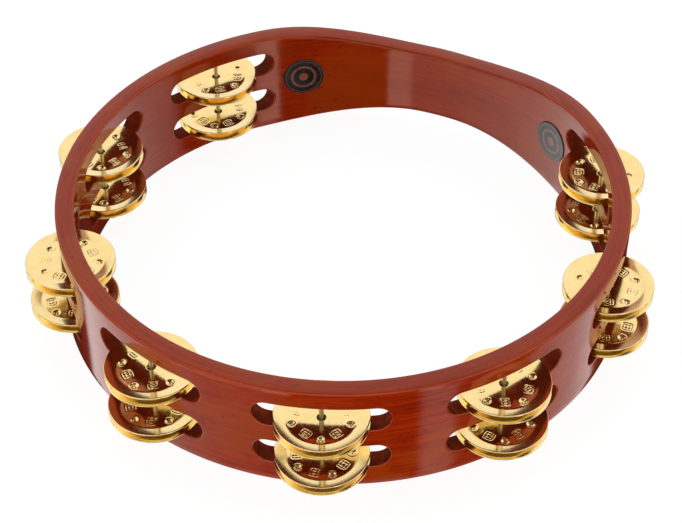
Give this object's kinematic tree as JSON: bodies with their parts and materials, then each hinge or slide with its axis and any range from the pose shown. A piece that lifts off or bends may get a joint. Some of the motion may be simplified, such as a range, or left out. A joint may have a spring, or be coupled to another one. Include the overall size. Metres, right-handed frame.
{
  "type": "tambourine",
  "caption": "Headless round wooden tambourine with a narrowed hand grip and two rows of slots round the hoop, each holding a pair of cupped brass jingles on a nail.",
  "frame": {"origin": "on the hoop's axis, level with the rim face it lies on", "axes": "+Z along the hoop's axis, up from the resting face; +Y towards the middle of the hand grip; +X to the right seen from the side opposite the grip"},
  "size_m": [0.2847, 0.2645, 0.054],
  "materials": {
    "lacquered_wood": "clear gloss lacquer over red-brown stain",
    "jingle_brass": "polished, with turned and pressed marks",
    "nail_metal": "bright drawn wire",
    "badge_print": "satin black with a plain motif"
  },
  "bodies": {
    "frame": {"wood_frame": "lacquered_wood", "badge_left": "badge_print", "badge_right": "badge_print", "jingle_nail_1": "nail_metal", "jingle_nail_2": "nail_metal", "jingle_nail_3": "nail_metal", "jingle_nail_4": "nail_metal", "jingle_nail_5": "nail_metal", "jingle_nail_6": "nail_metal", "jingle_nail_7": "nail_metal", "jingle_nail_8": "nail_metal"},
    "jingle_1_low_under": {"jingle_1_low_under": "jingle_brass"},
    "jingle_1_low_over": {"jingle_1_low_over": "jingle_brass"},
    "jingle_1_high_under": {"jingle_1_high_under": "jingle_brass"},
    "jingle_1_high_over": {"jingle_1_high_over": "jingle_brass"},
    "jingle_2_low_under": {"jingle_2_low_under": "jingle_brass"},
    "jingle_2_low_over": {"jingle_2_low_over": "jingle_brass"},
    "jingle_2_high_under": {"jingle_2_high_under": "jingle_brass"},
    "jingle_2_high_over": {"jingle_2_high_over": "jingle_brass"},
    "jingle_3_low_under": {"jingle_3_low_under": "jingle_brass"},
    "jingle_3_low_over": {"jingle_3_low_over": "jingle_brass"},
    "jingle_3_high_under": {"jingle_3_high_under": "jingle_brass"},
    "jingle_3_high_over": {"jingle_3_high_over": "jingle_brass"},
    "jingle_4_low_under": {"jingle_4_low_under": "jingle_brass"},
    "jingle_4_low_over": {"jingle_4_low_over": "jingle_brass"},
    "jingle_4_high_under": {"jingle_4_high_under": "jingle_brass"},
    "jingle_4_high_over": {"jingle_4_high_over": "jingle_brass"},
    "jingle_5_low_under": {"jingle_5_low_under": "jingle_brass"},
    "jingle_5_low_over": {"jingle_5_low_over": "jingle_brass"},
    "jingle_5_high_under": {"jingle_5_high_under": "jingle_brass"},
    "jingle_5_high_over": {"jingle_5_high_over": "jingle_brass"},
    "jingle_6_low_under": {"jingle_6_low_under": "jingle_brass"},
    "jingle_6_low_over": {"jingle_6_low_over": "jingle_brass"},
    "jingle_6_high_under": {"jingle_6_high_under": "jingle_brass"},
    "jingle_6_high_over": {"jingle_6_high_over": "jingle_brass"},
    "jingle_7_low_under": {"jingle_7_low_under": "jingle_brass"},
    "jingle_7_low_over": {"jingle_7_low_over": "jingle_brass"},
    "jingle_7_high_under": {"jingle_7_high_under": "jingle_brass"},
    "jingle_7_high_over": {"jingle_7_high_over": "jingle_brass"},
    "jingle_8_low_under": {"jingle_8_low_under": "jingle_brass"},
    "jingle_8_low_over": {"jingle_8_low_over": "jingle_brass"},
    "jingle_8_high_under": {"jingle_8_high_under": "jingle_brass"},
    "jingle_8_high_over": {"jingle_8_high_over": "jingle_brass"}
  },
  "joints": [
    {"name": "rattle_1_low_under", "type": "slide", "parent": "frame", "child": "jingle_1_low_under", "axis": [0, 0, 1], "range_m": [0, 0.0036]},
    {"name": "rattle_1_low_over", "type": "slide", "parent": "jingle_1_low_under", "child": "jingle_1_low_over", "axis": [0, 0, 1], "range_m": [0, 0.0036]},
    {"name": "rattle_1_high_under", "type": "slide", "parent": "frame", "child": "jingle_1_high_under", "axis": [0, 0, 1], "range_m": [0, 0.0036]},
    {"name": "rattle_1_high_over", "type": "slide", "parent": "jingle_1_high_under", "child": "jingle_1_high_over", "axis": [0, 0, 1], "range_m": [0, 0.0036]},
    {"name": "rattle_2_low_under", "type": "slide", "parent": "frame", "child": "jingle_2_low_under", "axis": [0, 0, 1], "range_m": [0, 0.0036]},
    {"name": "rattle_2_low_over", "type": "slide", "parent": "jingle_2_low_under", "child": "jingle_2_low_over", "axis": [0, 0, 1], "range_m": [0, 0.0036]},
    {"name": "rattle_2_high_under", "type": "slide", "parent": "frame", "child": "jingle_2_high_under", "axis": [0, 0, 1], "range_m": [0, 0.0036]},
    {"name": "rattle_2_high_over", "type": "slide", "parent": "jingle_2_high_under", "child": "jingle_2_high_over", "axis": [0, 0, 1], "range_m": [0, 0.0036]},
    {"name": "rattle_3_low_under", "type": "slide", "parent": "frame", "child": "jingle_3_low_under", "axis": [0, 0, 1], "range_m": [0, 0.0036]},
    {"name": "rattle_3_low_over", "type": "slide", "parent": "jingle_3_low_under", "child": "jingle_3_low_over", "axis": [0, 0, 1], "range_m": [0, 0.0036]},
    {"name": "rattle_3_high_under", "type": "slide", "parent": "frame", "child": "jingle_3_high_under", "axis": [0, 0, 1], "range_m": [0, 0.0036]},
    {"name": "rattle_3_high_over", "type": "slide", "parent": "jingle_3_high_under", "child": "jingle_3_high_over", "axis": [0, 0, 1], "range_m": [0, 0.0036]},
    {"name": "rattle_4_low_under", "type": "slide", "parent": "frame", "child": "jingle_4_low_under", "axis": [0, 0, 1], "range_m": [0, 0.0036]},
    {"name": "rattle_4_low_over", "type": "slide", "parent": "jingle_4_low_under", "child": "jingle_4_low_over", "axis": [0, 0, 1], "range_m": [0, 0.0036]},
    {"name": "rattle_4_high_under", "type": "slide", "parent": "frame", "child": "jingle_4_high_under", "axis": [0, 0, 1], "range_m": [0, 0.0036]},
    {"name": "rattle_4_high_over", "type": "slide", "parent": "jingle_4_high_under", "child": "jingle_4_high_over", "axis": [0, 0, 1], "range_m": [0, 0.0036]},
    {"name": "rattle_5_low_under", "type": "slide", "parent": "frame", "child": "jingle_5_low_under", "axis": [0, 0, 1], "range_m": [0, 0.0036]},
    {"name": "rattle_5_low_over", "type": "slide", "parent": "jingle_5_low_under", "child": "jingle_5_low_over", "axis": [0, 0, 1], "range_m": [0, 0.0036]},
    {"name": "rattle_5_high_under", "type": "slide", "parent": "frame", "child": "jingle_5_high_under", "axis": [0, 0, 1], "range_m": [0, 0.0036]},
    {"name": "rattle_5_high_over", "type": "slide", "parent": "jingle_5_high_under", "child": "jingle_5_high_over", "axis": [0, 0, 1], "range_m": [0, 0.0036]},
    {"name": "rattle_6_low_under", "type": "slide", "parent": "frame", "child": "jingle_6_low_under", "axis": [0, 0, 1], "range_m": [0, 0.0036]},
    {"name": "rattle_6_low_over", "type": "slide", "parent": "jingle_6_low_under", "child": "jingle_6_low_over", "axis": [0, 0, 1], "range_m": [0, 0.0036]},
    {"name": "rattle_6_high_under", "type": "slide", "parent": "frame", "child": "jingle_6_high_under", "axis": [0, 0, 1], "range_m": [0, 0.0036]},
    {"name": "rattle_6_high_over", "type": "slide", "parent": "jingle_6_high_under", "child": "jingle_6_high_over", "axis": [0, 0, 1], "range_m": [0, 0.0036]},
    {"name": "rattle_7_low_under", "type": "slide", "parent": "frame", "child": "jingle_7_low_under", "axis": [0, 0, 1], "range_m": [0, 0.0036]},
    {"name": "rattle_7_low_over", "type": "slide", "parent": "jingle_7_low_under", "child": "jingle_7_low_over", "axis": [0, 0, 1], "range_m": [0, 0.0036]},
    {"name": "rattle_7_high_under", "type": "slide", "parent": "frame", "child": "jingle_7_high_under", "axis": [0, 0, 1], "range_m": [0, 0.0036]},
    {"name": "rattle_7_high_over", "type": "slide", "parent": "jingle_7_high_under", "child": "jingle_7_high_over", "axis": [0, 0, 1], "range_m": [0, 0.0036]},
    {"name": "rattle_8_low_under", "type": "slide", "parent": "frame", "child": "jingle_8_low_under", "axis": [0, 0, 1], "range_m": [0, 0.0036]},
    {"name": "rattle_8_low_over", "type": "slide", "parent": "jingle_8_low_under", "child": "jingle_8_low_over", "axis": [0, 0, 1], "range_m": [0, 0.0036]},
    {"name": "rattle_8_high_under", "type": "slide", "parent": "frame", "child": "jingle_8_high_under", "axis": [0, 0, 1], "range_m": [0, 0.0036]},
    {"name": "rattle_8_high_over", "type": "slide", "parent": "jingle_8_high_under", "child": "jingle_8_high_over", "axis": [0, 0, 1], "range_m": [0, 0.0036]}
  ]
}
